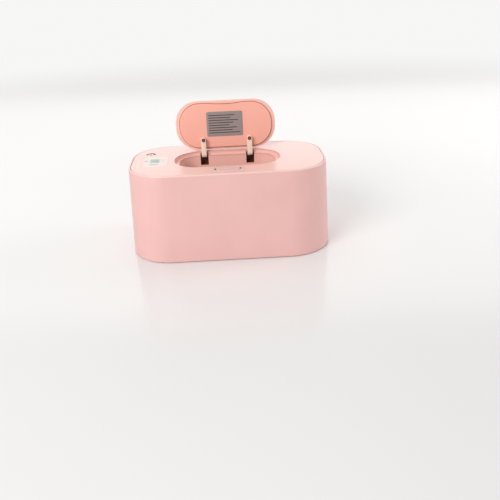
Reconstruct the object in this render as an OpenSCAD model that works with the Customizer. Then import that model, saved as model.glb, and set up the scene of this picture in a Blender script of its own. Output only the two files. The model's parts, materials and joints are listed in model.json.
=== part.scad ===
/* [Body] */
// Length of the body across its top
top_len = 225; // [220:1:230]
// Depth of the body across its top
top_depth = 118.6; // [116:0.2:122]
// Corner radius of the body at its top
top_r = 44.6; // [44:0.2:46]
// How far the side walls flare out from top to bottom, each side
flare = 4.2; // [3:0.2:5]
// Height of the body from the table to its flat top
body_h = 102; // [102:1:106]
// Wall thickness of the outer shell
wall = 2.4; // [2:0.1:2.6]
// Width of the bright lip around the top panel
lip_w = 2.2; // [2:0.1:2.4]
// Gap between the lip and the lift-off top panel
lip_gap = 0.45; // [0.3:0.05:0.5]

/* [Opening] */
// Length of the sunk seat for the lid
recess_len = 123; // [122:0.5:124]
// Depth, front to back, of the sunk seat for the lid
recess_depth = 60.8; // [60:0.2:61.6]
// Corner radius of the sunk seat
recess_r = 29.4; // [28:0.2:30]
// How deep the seat lies under the flat top
recess_drop = 4.1; // [4:0.1:4.2]
// Length of the opening that wipes are pulled through
mouth_len = 112; // [111:0.5:112.5]
// Depth, front to back, of that opening
mouth_depth = 53.2; // [53:0.1:53.6]
// Corner radius of that opening
mouth_r = 22; // [22:0.2:22.6]
// Distance of the opening's centre in front of the body's centre
mouth_ahead = 1; // [0.8:0.1:1.2]

/* [Lid] */
// Length of the lid
lid_len = 118.7; // [118:0.1:119.4]
// Depth of the lid, hinge edge to front edge
lid_depth = 56.9; // [56.5:0.1:57]
// Corner radius of the lid
lid_r = 25.6; // [25:0.1:26]
// Thickness of the lid's rim
lid_t = 3.8; // [3.6:0.1:3.8]
// Length of the raised inner panel
plug_len = 109; // [108.6:0.1:109.6]
// Depth of the raised inner panel
plug_depth = 51.2; // [51:0.1:51.4]
// Corner radius of the raised inner panel
plug_r = 23.5; // [23:0.1:24]
// How far the lid swings open, in degrees
open_angle = 98.9; // [90:0.1:100]

/* [Hinge] */
// Distance of each hinge arm from the middle
arm_x = 27.5; // [27:0.1:28]
// Width of a hinge arm
arm_w = 6; // [5.6:0.1:6.2]
// Width of the slot that each arm swings through
slot_w = 9.5; // [9:0.1:9.8]
// Diameter of the steel hinge rod
rod_d = 2; // [1.8:0.1:2]

/* [Controls] */
// Width of the clear control window
window_w = 30; // [28:0.5:31]
// Depth, front to back, of the clear control window
window_d = 42; // [40:0.5:43]
// Radius of the half-round release button
button_r = 13.2; // [12.6:0.1:13.6]
// Travel of the release button
button_travel = 1.5; // [1.2:0.1:1.5]

/* [Hidden] */
$fn = 96;

eps = 0.01;
bx = top_len / 2 - top_r;          // corner centres of every body outline
by = top_depth / 2 - top_r;
foot_gap = 0.6;                    // the shell stands clear of the table on its feet
foot_bevel = 0.7;                  // bevel round the shell's lower edge
lip_in = top_r - lip_w;
lip_round = 1.2;
edge_soft = 0.5;                   // small round on the rims of the top panel and the lip
seat_z = body_h - 8;               // ledge inside the shell that the top panel rests on
seat_t = 2;
seat_in = lip_in - 3;
cover_r = lip_in - lip_gap;
skin_t = 1.8;
skin_z = body_h - skin_t;          // underside of the top panel's skin
skirt_t = 1.75;
recess_wall = 1.2;
recess_round = 0.8;                // rounds on the upper rims of the seat and of the opening
mouth_round = 0.6;

tank_z = 9;                        // floor of the tank
tank_t = 1.6;
tank_rim_z = seat_z - seat_t;      // rim is clamped under the shell's ledge
tank_low_r = 35.4;
tank_top_r = 37.2;
tank_in_round = 6;                 // rounds where the tank's wall meets its floor
tank_out_round = 4;
tank_gap = 0.6;                    // between the tank's rim and the shell
foam_gap = 0.3;                    // between the tank and the foam
foam_t = 2.2;
foam_low = tank_z + 3;
foam_high = tank_rim_z - 5;

ledge_z = body_h - recess_drop;    // sunk seat for the lid
ledge_t = 1.4;
chute_t = 1.6;
chute_z = body_h - 23.6;           // lower end of the chute
plate_z = chute_z + 0.2;           // underside of the heater plate
plate_t = 1.4;
film_t = 0.5;
chassis_z = plate_z + plate_t + film_t + 0.1;
chassis_t = 1.6;
chassis_r = tank_top_r - 1;

mouth_y = -mouth_ahead;
hinge_y = 32.8;                    // axis of the lid's hinge
hinge_z = body_h - 4.2;
lid_y = mouth_y - 0.2;             // middle of the closed lid
lid_z = ledge_z + 0.3;             // underside of the closed lid's rim
lid_soft = 1.4;                    // rounds on the outer and inner edges of the lid's rim
lid_under = 0.8;
plug_y = mouth_y + 0.4;            // middle of the raised inner panel
plug_h = 3;
plug_t = 1.5;                      // the panel's wall and skin
plug_soft = 0.8;
plug_z = lid_z - plug_h;
panel_top_z = lid_z + 2;
seam_w = 0.8;                      // the seal's groove between the panel and the rim
dip = 1.3;                         // how far the panel's front edge is drawn in at its middle
dip_half = 20;
catch_y = plug_y - plug_depth / 2 + dip;
arm_z = plug_z - 6.2;              // front face of an arm when the lid is closed
arm_t = 3.2;
arm_front_y = 15.5;                // centre of an arm's round end and its screw
arm_elbow = 3;                     // outer radius of the arm's bend
arm_back_y = hinge_y + 3.4;
arm_boss_d = 6.6;                  // stand-off between the panel and an arm
screw_bore = 2;                    // self-tapping hole for the screws of arms and top panel
hub_r = 2.1;
slot_z = body_h - 16.2;             // lower end of each arm's slot
housing_in = slot_w + 0.7;         // black box behind each slot, which carries the rod
housing_wall = 1.5;
housing_back_y = 38.8;
rod_half = 36;
label_size = [43, 29, 2];          // length, depth and corner radius
label_t = 0.15;
label_at = [-1, -2.15];

window_x = -83.5;                  // middle of the control window
window_y = -4;
window_t = 1.2;
window_r = 8;
button_y = -41;                    // straight rear edge of the release button
button_gap = 0.35;
button_flange = 0.9;               // how far the flange under the panel stands out
button_flange_t = 1.4;
relief_w = 1.9;                    // slits in the panel beside the button's rear corners
relief_len = 4.8;
relief_x = button_r + 0.75;
spring_x = 10;                     // the button's springs and the posts under them
spring_y = -46;
spring_high = skin_z - 1.8;        // the button's springs run up to the underside of its flange
spring_low = chassis_z + chassis_t + 5.5;
wedge_w = 7.2;                     // wedge under the button that drives the latch
latch_z = 95;                      // underside of the sliding latch
latch_w = 10;
latch_front_y = -49.8;
latch_back_y = -31;
latch_spring_len = 3.1 + button_travel;
nose_z = 96.1;
nose_top_z = 97.3;
nose_y = catch_y + 0.8;            // tip of the latch, inside the panel's pocket
rail_front_y = -48;
rail_back_y = -33;
rail_t = 1.2;
socket_x = -50;                    // power socket, in the rear of the top panel
socket_z = body_h - 5.9;
socket_half = 4;
socket_half_h = 3.4;
socket_bore = 3.6;
socket_pin = 1.3;
socket_depth = 10;
plug_hole_d = 8;
boss_x = 84;                       // screw bosses under the top panel
boss_y = 34;
boss_d = 6;
board_low = 86;                    // main board, with the display board above it
board_top = 87.6;
header_top = 94.6;
display_top = header_top + 1.2;
lcd_top = body_h - 2.6;
lcd_glass_top = body_h - 2.1;
foot_x = 90;
foot_y = 37;
foot_d = 14;
foot_low_d = 12.4;
foot_bevel_h = 0.8;
base_t = 2.2;
base_z = 1.2;
base_top = base_z + base_t;
base_boss_r = top_r + flare - 5.4; // how far the base's screws lie from a corner centre
base_boss_d = 6.8;
base_boss_h = 13;
base_head_d = 4.6;
base_sink = 1.2;                   // how deep the base's screw heads lie
vent_pitch = 5;

// Outer radius of the drafted shell at height z
function out(z) = top_r + flare * (body_h - z) / body_h;

// Sweeps a profile, drawn as (distance from a corner centre, height), round a rounded rectangle
module around(cx, cy) {
    for (i = [0:3])
        rotate([0, 0, 90 * i])
            translate(i % 2 == 0 ? [cx, cy, 0] : [cy, cx, 0])
                rotate_extrude(angle = 90) children();
    for (turn = [0, 180])
        rotate([0, 0, turn]) {
            translate([-cx, cy, 0]) rotate([90, 0, 90]) linear_extrude(2 * cx) children();
            translate([cx, cy, 0]) rotate([90, 0, 0]) linear_extrude(2 * cy) children();
        }
}

// The same sweep with its middle filled between two heights
module around_filled(cx, cy, low, high) {
    around(cx, cy) children();
    translate([-cx, -cy, low]) cube([2 * cx, 2 * cy, high - low]);
}

// A rounded rectangle
module rounded(l, w, r) {
    square([l - 2 * r, w], center = true);
    square([l, w - 2 * r], center = true);
    for (x = [-1, 1], y = [-1, 1])
        translate([x * (l / 2 - r), y * (w / 2 - r)]) circle(r);
}

// A body outline whose corners have the given radius about the shared corner centres
module body_outline(r) {
    rounded(2 * (bx + r), 2 * (by + r), r);
}

// A plate of that outline between two heights
module body_plate(r, low, high) {
    translate([0, 0, low]) linear_extrude(high - low) body_outline(r);
}

module recess_outline(grow) {
    translate([0, mouth_y])
        rounded(recess_len + 2 * grow, recess_depth + 2 * grow, recess_r + grow);
}

module mouth_outline(grow) {
    translate([0, mouth_y])
        rounded(mouth_len + 2 * grow, mouth_depth + 2 * grow, mouth_r + grow);
}

// What is cut away to round a rim: the corner of a square outside a circle
module rim_round(r) {
    difference() {
        translate([-eps, -eps]) square(r + eps);
        translate([r, 0]) circle(r);
    }
}

// A square-ended bar along X or Y with real corners
module block(low, high) {
    translate(low) cube(high - low);
}

// A helical spring of round wire, its axis along Z from 0 to len
module coil(r, wire, turns, len) {
    steps = 14;
    sides = 6;
    rings = round(turns * steps);
    points = [for (i = [0:rings], j = [0:sides - 1])
        let (a = 360 * i / steps,
             b = 360 * j / sides,
             d = r + wire / 2 * cos(b))
        [d * cos(a), d * sin(a), wire / 2 + (len - wire) * i / rings + wire / 2 * sin(b)]];
    skins = [for (i = [0:rings - 1], j = [0:sides - 1])
        let (k = (j + 1) % sides)
        [i * sides + j, i * sides + k, (i + 1) * sides + k, (i + 1) * sides + j]];
    first = [for (j = [sides - 1:-1:0]) j];
    last = [for (j = [0:sides - 1]) rings * sides + j];
    polyhedron(points, concat(skins, [first], [last]));
}

// A pan-head screw, head down, whose head's upper face is at height 0
module screw(head_d, head_t, shank_d, shank_len) {
    difference() {
        translate([0, 0, -head_t]) cylinder(d = head_d, h = head_t);
        translate([0, 0, -head_t - eps])
            for (turn = [0, 90])
                rotate([0, 0, turn])
                    translate([-head_d * 0.32, -0.35, 0]) cube([head_d * 0.64, 0.7, head_t * 0.7]);
    }
    translate([0, 0, -eps]) cylinder(d = shank_d, h = shank_len);
}

module shell_profile() {
    polygon([[out(foot_gap) - wall, foot_gap],
             [out(foot_gap) - foot_bevel, foot_gap],
             [out(foot_gap), foot_gap + foot_bevel],
             [out(body_h - lip_round), body_h - lip_round],
             [lip_in, body_h - lip_round],
             [lip_in, seat_z],
             [seat_in, seat_z],
             [seat_in, seat_z - seat_t],
             [out(seat_z - seat_t) - wall, seat_z - seat_t]]);
    crown = out(body_h - lip_round) - lip_round;
    translate([crown, body_h - lip_round]) circle(lip_round);
    translate([lip_in + edge_soft, body_h - edge_soft]) circle(edge_soft);
    translate([lip_in, body_h - lip_round - eps])
        square([crown - lip_in, lip_round - edge_soft + eps]);
    translate([lip_in + edge_soft, body_h - lip_round])
        square([crown - lip_in - edge_soft, lip_round]);
}

// The four corner places, at a given distance out along each corner's diagonal
module at_corners(d) {
    for (x = [-1, 1], y = [-1, 1])
        translate([x * (bx + d * cos(45)), y * (by + d * sin(45)), 0]) children();
}

module outer_shell() color("#f2b9b2") {
    difference() {
        union() {
            around(bx, by) shell_profile();
            at_corners(base_boss_r)
                translate([0, 0, base_top]) cylinder(d = base_boss_d, h = base_boss_h);
        }
        at_corners(base_boss_r) translate([0, 0, base_z]) cylinder(d = 2.2, h = base_boss_h - 0.2);
        translate([socket_x, by + seat_in - 1, socket_z])
            rotate([-90, 0, 0]) cylinder(d = plug_hole_d, h = 12);
        block([socket_x - socket_half - 1, by + seat_in - 1, seat_z - seat_t - 1],
              [socket_x + socket_half + 1, by + lip_in, seat_z + 1]);
    }
}

module tank_profile() {
    polygon([[tank_low_r, tank_z],
             [tank_low_r + tank_t, tank_z],
             [tank_top_r + tank_t, tank_rim_z - tank_t],
             [lip_in - tank_gap, tank_rim_z - tank_t],
             [lip_in - tank_gap, tank_rim_z],
             [tank_top_r, tank_rim_z]]);
    ri = tank_in_round;
    ro = tank_out_round;
    low = tank_z - tank_t;
    difference() {
        union() {
            translate([tank_low_r - ri, low]) square([ri + tank_t - ro, ri + tank_t]);
            translate([tank_low_r + tank_t - ro, low + ro]) circle(ro);
            translate([tank_low_r + tank_t - ro, low + ro]) square([ro, ri - ro + tank_t]);
        }
        translate([tank_low_r - ri, tank_z + ri]) circle(ri);
        translate([tank_low_r - ri - eps, tank_z + ri]) square([ri + eps, ri]);
    }
}

module inner_tank() color("#e9e4df") {
    around(bx, by) tank_profile();
    body_plate(tank_low_r - tank_in_round + 0.2, tank_z - tank_t, tank_z);
}

module insulation_sleeve() color("#c9c9c6")
    around(bx, by)
        polygon([[tank_low_r + tank_t + foam_gap, foam_low],
                 [tank_low_r + tank_t + foam_gap + foam_t, foam_low],
                 [tank_top_r + tank_t + foam_gap - 0.1 + foam_t, foam_high],
                 [tank_top_r + tank_t + foam_gap - 0.1, foam_high]]);

module base_plate() color("#e6aaa2") {
    difference() {
        union() {
            body_plate(out(base_top) - wall - 0.2, base_z, base_top);
            for (x = [-60, -20, 20, 60])
                block([x - 1, -40, base_top - eps], [x + 1, 40, tank_z - tank_t]);
        }
        for (x = [-foot_x, foot_x], y = [-foot_y, foot_y])
            translate([x, y, base_z - eps]) cylinder(d = foot_d + 0.4, h = foot_bevel_h);
        at_corners(base_boss_r) {
            translate([0, 0, base_z - eps]) cylinder(d = base_head_d + 0.2, h = base_sink + 0.05);
            cylinder(d = 2.8, h = 6);
        }
        for (x = [-3:3])
            block([x * vent_pitch - 1, -12, 0], [x * vent_pitch + 1, 12, base_top + 1]);
    }
}

module base_screws() color("#8b8e91")
    at_corners(base_boss_r)
        translate([0, 0, base_z + base_sink]) screw(base_head_d, 1.1, 2.2, 11);

module rubber_feet() color("#d8d2cc")
    for (x = [-foot_x, foot_x], y = [-foot_y, foot_y])
        translate([x, y, 0]) {
            cylinder(d1 = foot_low_d, d2 = foot_d, h = foot_bevel_h);
            translate([0, 0, foot_bevel_h]) cylinder(d = foot_d, h = base_z - 0.05);
        }

// Half-round outline of the release button, grown all round by a gap
module button_outline(grow) {
    intersection() {
        translate([0, button_y]) circle(button_r + grow);
        translate([-20, button_y - 20]) square([40, 20 + grow]);
    }
}

module cover_profile() {
    translate([0, skin_z]) square([cover_r - edge_soft, skin_t]);
    translate([0, skin_z]) square([cover_r, skin_t - edge_soft]);
    translate([cover_r - edge_soft, body_h - edge_soft]) circle(edge_soft);
    translate([cover_r - skirt_t, seat_z + 0.2]) square([skirt_t, skin_z - seat_z]);
}

module top_cover() color("#f6cfc7") {
    difference() {
        union() {
            difference() {
                around_filled(bx, by, skin_z, body_h) cover_profile();
                translate([0, 0, skin_z - 1]) linear_extrude(skin_t + 2) recess_outline(0);
                around_rim(recess_len, recess_depth, recess_r, body_h, recess_round);
            }
            translate([0, 0, ledge_z - ledge_t])
                linear_extrude(skin_z - ledge_z + ledge_t + eps)
                    difference() {
                        recess_outline(recess_wall);
                        recess_outline(0);
                    }
            difference() {
                translate([0, 0, ledge_z - ledge_t])
                    linear_extrude(ledge_t)
                        difference() {
                            recess_outline(0.5);
                            mouth_outline(0);
                        }
                around_rim(mouth_len, mouth_depth, mouth_r, ledge_z, mouth_round);
            }
            translate([0, 0, chute_z])
                linear_extrude(ledge_z - ledge_t - chute_z + eps)
                    difference() {
                        mouth_outline(chute_t);
                        mouth_outline(0);
                    }
            for (x = [-boss_x, boss_x], y = [-boss_y, boss_y])
                translate([x, y, chassis_z + chassis_t + 0.1])
                    cylinder(d = boss_d, h = skin_z - chassis_z - chassis_t);
        }
        for (x = [-arm_x, arm_x])
            block([x - slot_w / 2, mouth_y + mouth_depth / 2 - 1, slot_z],
                  [x + slot_w / 2, mouth_y + recess_depth / 2 + 2, skin_z]);
        for (x = [-boss_x, boss_x], y = [-boss_y, boss_y])
            translate([x, y, chassis_z]) cylinder(d = screw_bore, h = 14);
        translate([window_x, window_y, body_h - window_t - 0.1])
            linear_extrude(window_t + 1) rounded(window_w + 0.2, window_d + 0.2, window_r + 0.1);
        translate([window_x, window_y, skin_z - 1])
            linear_extrude(skin_t + 1) rounded(window_w - 4, window_d - 4, window_r - 2);
        translate([0, 0, skin_z - 1]) linear_extrude(skin_t + 2) {
            button_outline(button_gap);
            for (x = [-relief_x, relief_x])
                translate([x, button_y]) rounded(relief_w, relief_len, relief_w / 2 - 0.05);
        }
        block([-latch_w / 2 - 0.5, -34, nose_z - 0.4], [latch_w / 2 + 0.5, -27, ledge_z + 1]);
        block([socket_x - socket_half - 0.3, by + cover_r - skirt_t - 1, seat_z - 1],
              [socket_x + socket_half + 0.3, by + cover_r + 1, skin_z - 0.1]);
    }
}

// What is cut away to round the upper rim of an opening
module around_rim(l, w, r, z, soft) {
    translate([0, mouth_y, 0])
        around(l / 2 - r, w / 2 - r)
            translate([r, z]) mirror([0, 1]) rim_round(soft);
}

// Two walls that guide the latch, each with a shelf that it slides on and a hole for the wires
module latch_rails() {
    inside = latch_w / 2 + 0.3;
    for (turn = [0, 1])
        mirror([turn, 0, 0]) {
            difference() {
                block([inside, rail_front_y, chassis_z + chassis_t - eps],
                      [inside + rail_t, rail_back_y, nose_top_z - 0.7]);
                block([inside - 1, -40.4, 88], [inside + 2, -35.6, 91]);
            }
            block([inside - 1, rail_front_y, latch_z - 0.1 - rail_t],
                  [inside + eps, rail_back_y, latch_z - 0.1]);
        }
}

module cover_chassis() color("#e3ded8") {
    difference() {
        union() {
            body_plate(chassis_r, chassis_z, chassis_z + chassis_t);
            around(bx, by) {
                translate([chassis_r - chassis_t, chassis_z])
                    square([chassis_t, seat_z + 0.2 - chassis_z]);
                translate([chassis_r - chassis_t, seat_z + 0.2 - chassis_t])
                    square([seat_in - 0.3 - chassis_r + chassis_t, chassis_t]);
            }
            translate([0, 0, chassis_z])
                linear_extrude(6)
                    difference() {
                        mouth_outline(chute_t + chassis_t);
                        mouth_outline(chute_t + 0.2);
                    }
            for (x = [-spring_x, spring_x])
                translate([x, spring_y, chassis_z + chassis_t - eps])
                    cylinder(d = 5, h = spring_low - chassis_z - chassis_t);
            latch_rails();
        }
        translate([0, 0, chassis_z - 1]) linear_extrude(20) mouth_outline(chute_t + 0.2);
        for (x = [-arm_x, arm_x])
            block([x - housing_in / 2 - housing_wall - 0.2, 20, chassis_z + chassis_t],
                  [x + housing_in / 2 + housing_wall + 0.2, housing_back_y + housing_wall + 0.2,
                   seat_z + 1]);
        for (x = [-boss_x, boss_x], y = [-boss_y, boss_y])
            translate([x, y, chassis_z - 1]) cylinder(d = 2.6, h = 4);
        block([socket_x - socket_half - 0.3, by + chassis_r - 4, seat_z - 2],
              [socket_x + socket_half + 0.3, by + lip_in, seat_z + 1]);
    }
}

module chassis_screws() color("#8b8e91")
    for (x = [-boss_x, boss_x], y = [-boss_y, boss_y])
        translate([x, y, plate_z]) screw(4.4, 1.1, screw_bore, 13);

module cover_seal() color("#dcd8d2")
    around(bx, by)
        translate([tank_top_r + 0.2, tank_rim_z + 0.1]) square([seat_in - 0.5 - tank_top_r, 0.5]);

module heater_plate() color("#c4c7ca")
    translate([0, 0, plate_z])
        linear_extrude(plate_t)
            difference() {
                body_outline(chassis_r - chassis_t);
                mouth_outline(chute_t + 0.5);
                for (x = [-boss_x, boss_x], y = [-boss_y, boss_y])
                    translate([x, y]) circle(1.4);
            }

module heating_film() color("#c8852d")
    translate([0, 0, plate_z + plate_t])
        linear_extrude(film_t)
            difference() {
                body_outline(chassis_r - 4);
                mouth_outline(chute_t + 3);
                for (x = [-boss_x, boss_x], y = [-boss_y, boss_y])
                    translate([x, y]) circle(4);
            }

module thermal_fuse() color("#d9d5c8")
    translate([62, -6, chassis_z + chassis_t + 1.6])
        rotate([-90, 0, 0]) {
            cylinder(d = 3, h = 9);
            translate([0, 0, -4]) cylinder(d = 0.8, h = 17);
        }

module thermal_sensor() color("#2b2b2b")
    translate([70, -6, chassis_z + chassis_t + 1.4])
        rotate([-90, 0, 0]) {
            sphere(d = 2.6);
            cylinder(d = 1.4, h = 6);
        }

module main_board() color("#2f7a4d")
    difference() {
        block([-98, -26, board_low], [-60.5, 26, board_top]);
        for (y = [-22, 22])
            translate([-94, y, board_low - 1]) cylinder(d = 2.6, h = 4);
    }

module board_components() color("#3a3c40") {
    block([-80, -8, board_top], [-70, 2, board_top + 1.2]);
    block([-94, 4, board_top], [-86, 10, board_top + 1.6]);
    block([-72, 8, board_top], [-64, 20, board_top + 5.4]);
    block([-98, -14, board_top], [-94, 10, header_top]);
    for (y = [-20, -12])
        translate([-66, y, board_top]) cylinder(d = 6, h = 6);
    for (y = [-20:4:-8])
        block([-84, y, board_top], [-82, y + 1.2, board_top + 0.7]);
}

module display_board() color("#2f7a4d")
    block([-99, -26, header_top], [-68, 30.6, display_top]);

module lcd_module() color("#39413c") {
    block([-92, -10, display_top], [-76, 9, lcd_top]);
    block([-90.5, -8.5, lcd_top], [-77.5, 7.5, lcd_glass_top]);
}

module control_window() color("#e4efe2")
    translate([window_x, window_y, body_h - window_t])
        linear_extrude(window_t) rounded(window_w, window_d, window_r);

// Small coil springs that carry the touch keys' signal up to the panel
module touch_springs() color("#c9a24a")
    for (p = [[-91, -18, 4.6], [-76, -18, 4.6], [-91, 28, 4.2]])
        translate([p.x, p.y, display_top]) coil(1.8, 0.4, 4, p.z);

module power_socket() color("#1f1f20") {
    bore_y = by + lip_in - socket_depth;
    difference() {
        block([socket_x - socket_half, 42, socket_z - socket_half_h],
              [socket_x + socket_half, by + lip_in - 0.2, socket_z + socket_half_h]);
        translate([socket_x, bore_y, socket_z])
            rotate([-90, 0, 0]) cylinder(d = socket_bore, h = socket_depth + 2);
    }
    translate([socket_x, bore_y - 0.5, socket_z])
        rotate([-90, 0, 0]) cylinder(d = socket_pin, h = socket_depth - 0.5);
}

// A wire with square turns, through a list of points
module wire(points, d) {
    for (i = [0:len(points) - 2]) {
        a = points[i];
        b = points[i + 1];
        run = b - a;
        turn = run.z != 0 ? [0, 0, 0] : run.y != 0 ? [-90, 0, 0] : [0, 90, 0];
        low = [min(a.x, b.x), min(a.y, b.y), min(a.z, b.z)];
        translate(low) rotate(turn) cylinder(d = d, h = norm(run));
    }
    for (i = [1:len(points) - 2])
        translate(points[i]) sphere(d = d);
}

module wiring() color("#b0463c") {
    wire([[-48.5, 42, 95], [-48.5, 38, 95], [-60, 38, 95], [-60, 38, 90.6], [-60, 20, 90.6],
          [-64, 20, 90.6]], 1.4);
    wire([[-51.5, 42, 97], [-51.5, 36, 97], [-62, 36, 97], [-62, 36, 92.4], [-62, 17, 92.4],
          [-64, 17, 92.4]], 1.4);
    wire([[-68, -26, 89.4], [-68, -37, 89.4], [62, -37, 89.4], [62, -37, 85], [62, -10, 85]], 1.2);
    wire([[-72, -26, 89.4], [-72, -39, 89.4], [70, -39, 89.4], [70, -39, 87], [70, 3, 87],
          [70, 3, 84.6]], 1.2);
}

module hinge_housings() color("#2a2523")
    for (x = [-arm_x, arm_x])
        difference() {
            block([x - housing_in / 2 - housing_wall, mouth_y + mouth_depth / 2 + chute_t + 0.1,
                   chassis_z + chassis_t + 0.1],
                  [x + housing_in / 2 + housing_wall, housing_back_y + housing_wall, skin_z - 0.1]);
            block([x - 20, 20, ledge_z - ledge_t - 0.1],
                  [x + 20, mouth_y + recess_depth / 2 + recess_wall + 0.1, body_h]);
            block([x - housing_in / 2, 20, slot_z - 0.4],
                  [x + housing_in / 2, housing_back_y, body_h]);
            translate([x - 20, hinge_y, hinge_z]) rotate([0, 90, 0]) cylinder(d = rod_d + 0.04, h = 40);
        }

module hinge_rod() color("#b9bcbf")
    translate([-rod_half, hinge_y, hinge_z])
        rotate([0, 90, 0]) cylinder(d = rod_d, h = 2 * rod_half);

module torsion_springs() color("#9b9ea1")
    for (x = [-18, 6])
        translate([x, hinge_y, hinge_z]) rotate([0, 90, 0]) coil(1.6, 0.7, 7, 12);

module button_springs() color("#9b9ea1")
    for (x = [-spring_x, spring_x])
        translate([x, spring_y, spring_low]) coil(1.9, 0.45, 5, spring_high - spring_low - 0.05);

module latch_spring() color("#9b9ea1")
    translate([0, latch_front_y - 0.1, nose_z])
        rotate([90, 0, 0]) coil(0.9, 0.35, 4, latch_spring_len);

module lid_pose()
    translate([0, hinge_y, hinge_z]) rotate([-open_angle, 0, 0]) translate([0, -hinge_y, -hinge_z])
        children();

// Outline of the lid's inner panel, drawn in at the middle of its front edge to clear the latch
module plug_outline(grow) {
    dip_r = (dip_half * dip_half + dip * dip) / (2 * dip);
    difference() {
        translate([0, plug_y])
            rounded(plug_len + 2 * grow, plug_depth + 2 * grow, plug_r + grow);
        translate([0, catch_y - dip_r]) circle(dip_r - grow, $fn = 360);
    }
}

module lid_profile() {
    translate([0, lid_z]) square([lid_r - lid_under, lid_t]);
    translate([0, lid_z + lid_under]) square([lid_r, lid_t - lid_under - lid_soft]);
    translate([lid_r - lid_under, lid_z + lid_under]) circle(lid_under);
    translate([0, lid_z + lid_under]) square([lid_r - lid_soft, lid_t - lid_under]);
    translate([lid_r - lid_soft, lid_z + lid_t - lid_soft]) circle(lid_soft);
}

module lid_shell() color("#f6c6bd") lid_pose()
    difference() {
        translate([0, lid_y, 0])
            around_filled(lid_len / 2 - lid_r, lid_depth / 2 - lid_r, lid_z, lid_z + lid_t)
                intersection() {
                    lid_profile();
                    translate([0, lid_z]) square([lid_r, lid_t]);
                }
        translate([0, 0, lid_z - 1]) linear_extrude(panel_top_z - lid_z + 1) plug_outline(seam_w);
    }

module lid_inner_panel() color("#f7ab9b") lid_pose() {
    difference() {
        intersection() {
            translate([0, 0, plug_z]) linear_extrude(panel_top_z - plug_z - 0.05) plug_outline(0);
            translate([0, plug_y, 0])
                around_filled(plug_len / 2 - plug_r, plug_depth / 2 - plug_r, plug_z, panel_top_z) {
                    translate([0, plug_z]) square([plug_r - plug_soft, 8]);
                    translate([0, plug_z + plug_soft]) square([plug_r, 8]);
                    translate([plug_r - plug_soft, plug_z + plug_soft]) circle(plug_soft);
                }
        }
        difference() {
            translate([0, 0, plug_z + plug_t]) linear_extrude(6) plug_outline(-plug_t);
            block([-9, -30, plug_z], [9, catch_y + 4.7, panel_top_z]);
            for (x = [-arm_x, arm_x])
                translate([x, arm_front_y, plug_z]) cylinder(d = 6, h = 6);
        }
        block([-latch_w / 2 - 0.6, -30, nose_z - 0.3],
              [latch_w / 2 + 0.6, nose_y + 0.7, nose_top_z + 0.3]);
        for (x = [-arm_x, arm_x])
            translate([x, arm_front_y, plug_z - 1]) cylinder(d = screw_bore, h = 4.6);
    }
    for (x = [-arm_x, arm_x])
        translate([x, arm_front_y, arm_z + arm_t])
            difference() {
                cylinder(d = arm_boss_d, h = plug_z - arm_z - arm_t + eps);
                translate([0, 0, -eps]) cylinder(d = screw_bore, h = 4);
            }
}

module lid_seal() color("#c9685c") lid_pose()
    translate([0, 0, lid_z - 0.2])
        linear_extrude(panel_top_z - lid_z - 0.1)
            difference() {
                plug_outline(seam_w - 0.05);
                plug_outline(0.05);
            }

module lid_label() color("#9a9090") lid_pose()
    translate([label_at.x, label_at.y, plug_z - label_t])
        linear_extrude(label_t) rounded(label_size.x, label_size.y, label_size.z);

// One hinge arm, drawn with the lid closed: a flat bar under the panel and an upright to the hub
module hinge_arm() {
    translate([0, 0, arm_z])
        linear_extrude(arm_t) {
            translate([0, arm_front_y]) circle(arm_w / 2);
            translate([-arm_w / 2, arm_front_y])
                square([arm_w, arm_back_y - arm_elbow - arm_front_y]);
        }
    translate([-arm_w / 2, 0, 0])
        rotate([90, 0, 90])
            linear_extrude(arm_w) {
                intersection() {
                    translate([arm_back_y - arm_elbow, arm_z + arm_elbow]) circle(arm_elbow);
                    translate([arm_back_y - arm_elbow, arm_z]) square(arm_elbow);
                }
                polygon([[arm_back_y - arm_elbow - 1, arm_z], [arm_back_y - arm_elbow, arm_z],
                         [arm_back_y, arm_z + arm_elbow], [arm_back_y, hinge_z - 1], 
                         [hinge_y + 1.4, hinge_z + 1.56], [hinge_y - 1.4, hinge_z - 1.5],
                         [hinge_y, arm_z + arm_t]]);
                translate([hinge_y, hinge_z]) circle(hub_r);
            }
}

module hinge_arms() color("#f3e2d6") lid_pose()
    for (x = [-arm_x, arm_x])
        translate([x, 0, 0])
            difference() {
                hinge_arm();
                translate([-10, hinge_y, hinge_z]) rotate([0, 90, 0]) cylinder(d = rod_d + 0.06, h = 20);
                translate([0, arm_front_y, arm_z - 1]) cylinder(d = 2.3, h = 6);
            }

module arm_screws() color("#2c2624") lid_pose()
    for (x = [-arm_x, arm_x])
        translate([x, arm_front_y, arm_z]) screw(4.2, 0.9, screw_bore, 7.4);

module release_button() color("#f6cfc7") {
    translate([0, 0, skin_z - 0.4]) linear_extrude(skin_t + 0.4) button_outline(0);
    difference() {
        translate([0, 0, spring_high]) linear_extrude(button_flange_t + eps) intersection() {
            button_outline(button_flange);
            translate([-20, -52.5]) square([40, 20]);
        }
        block([-latch_w / 2 - 0.6, -54, skin_z - 3], [latch_w / 2 + 0.6, -38, skin_z - 0.4]);
    }
    // wedge that drives the latch forward, and the pads over the springs
    translate([-wedge_w / 2, 0, 0]) rotate([90, 0, 90]) linear_extrude(wedge_w)
        polygon([[-43.4, skin_z - 0.3], [-49, skin_z - 0.3], [-48.9, nose_top_z + 2.6],
                 [-44.3, nose_top_z - 2], [-43.4, nose_top_z - 2.4]]);
    for (x = [-spring_x, spring_x])
        translate([x, spring_y, spring_high - 2]) cylinder(d = 2, h = 2 + eps);
}

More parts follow.
